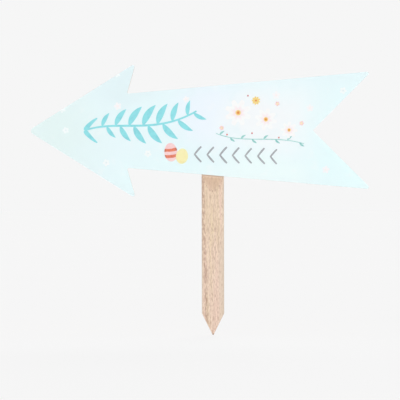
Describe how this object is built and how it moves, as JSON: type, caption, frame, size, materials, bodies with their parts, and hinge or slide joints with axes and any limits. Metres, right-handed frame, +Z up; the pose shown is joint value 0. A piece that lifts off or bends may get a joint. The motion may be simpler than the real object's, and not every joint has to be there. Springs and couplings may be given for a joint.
{
  "type": "directional sign stake",
  "caption": "Arrow-shaped printed board with a swallow-tail end, screwed to the front of a flat wooden stake with a pointed tip.",
  "frame": {"origin": "tip of the stake, on its centre line and midway through its thickness", "axes": "+Z up along the stake, -X the way the arrow points, -Y the way the printed face looks"},
  "size_m": [0.3782, 0.011, 0.3025],
  "materials": {
    "printed_board": "fibreboard with a matt pale aqua print on its front face and bare brown edges and back",
    "stake_wood": "bare planed softwood",
    "screw_steel": "bright zinc-plated steel"
  },
  "bodies": {
    "root": {"arrow_board": "printed_board", "stake": "stake_wood", "upper_screw": "screw_steel", "lower_screw": "screw_steel"}
  },
  "joints": []
}
